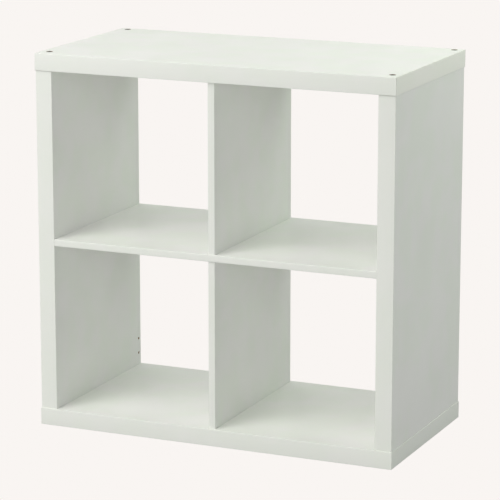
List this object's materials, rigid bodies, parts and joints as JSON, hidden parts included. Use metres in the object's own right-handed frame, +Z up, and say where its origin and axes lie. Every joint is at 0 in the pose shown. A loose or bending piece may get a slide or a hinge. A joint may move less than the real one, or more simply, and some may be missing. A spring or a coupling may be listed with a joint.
{
  "type": "cube storage unit",
  "caption": "Free-standing square storage unit of open cubes, with thick outer panels, a thin shelf and thin upright dividers, open at the front and back.",
  "frame": {"origin": "on the floor, under the middle of the unit: the centre of the bottom panel's lower face", "axes": "+Z up, +X to the right seen from the front, +Y to the back, so the front edges look along -Y"},
  "size_m": [0.765, 0.39, 0.765],
  "materials": {
    "white_skin": "white satin paint on fibreboard",
    "white_edge_band": "white satin edge band",
    "white_board": "white satin foil on particleboard",
    "particleboard": "raw particleboard",
    "honeycomb": "raw kraft paper",
    "screw_steel": "matte black coated steel",
    "dowel_wood": "raw beech"
  },
  "bodies": {
    "root": {"top_outer_skin": "white_skin", "top_inner_skin": "white_skin", "top_front_rail": "particleboard", "top_rear_rail": "particleboard", "top_left_end_block": "particleboard", "top_right_end_block": "particleboard", "top_middle_block": "particleboard", "top_core": "honeycomb", "top_front_band": "white_edge_band", "top_rear_band": "white_edge_band", "top_left_band": "white_edge_band", "top_right_band": "white_edge_band", "bottom_outer_skin": "white_skin", "bottom_inner_skin": "white_skin", "bottom_front_rail": "particleboard", "bottom_rear_rail": "particleboard", "bottom_left_end_block": "particleboard", "bottom_right_end_block": "particleboard", "bottom_middle_block": "particleboard", "bottom_core": "honeycomb", "bottom_front_band": "white_edge_band", "bottom_rear_band": "white_edge_band", "bottom_left_band": "white_edge_band", "bottom_right_band": "white_edge_band", "left_side_outer_skin": "white_skin", "left_side_inner_skin": "white_skin", "left_side_front_rail": "particleboard", "left_side_rear_rail": "particleboard", "left_side_top_block": "particleboard", "left_side_middle_block": "particleboard", "left_side_bottom_block": "particleboard", "left_side_core": "honeycomb", "left_side_front_band": "white_edge_band", "left_side_rear_band": "white_edge_band", "right_side_outer_skin": "white_skin", "right_side_inner_skin": "white_skin", "right_side_front_rail": "particleboard", "right_side_rear_rail": "particleboard", "right_side_top_block": "particleboard", "right_side_middle_block": "particleboard", "right_side_bottom_block": "particleboard", "right_side_core": "honeycomb", "right_side_front_band": "white_edge_band", "right_side_rear_band": "white_edge_band", "shelf_board": "white_board", "shelf_front_band": "white_edge_band", "shelf_rear_band": "white_edge_band", "upper_divider_board": "white_board", "upper_divider_front_band": "white_edge_band", "upper_divider_rear_band": "white_edge_band", "lower_divider_board": "white_board", "lower_divider_front_band": "white_edge_band", "lower_divider_rear_band": "white_edge_band", "top_screws": "screw_steel", "bottom_screws": "screw_steel", "corner_dowels": "dowel_wood", "divider_dowels": "dowel_wood", "shelf_dowels": "dowel_wood", "shelf_through_dowels": "dowel_wood"}
  },
  "joints": []
}
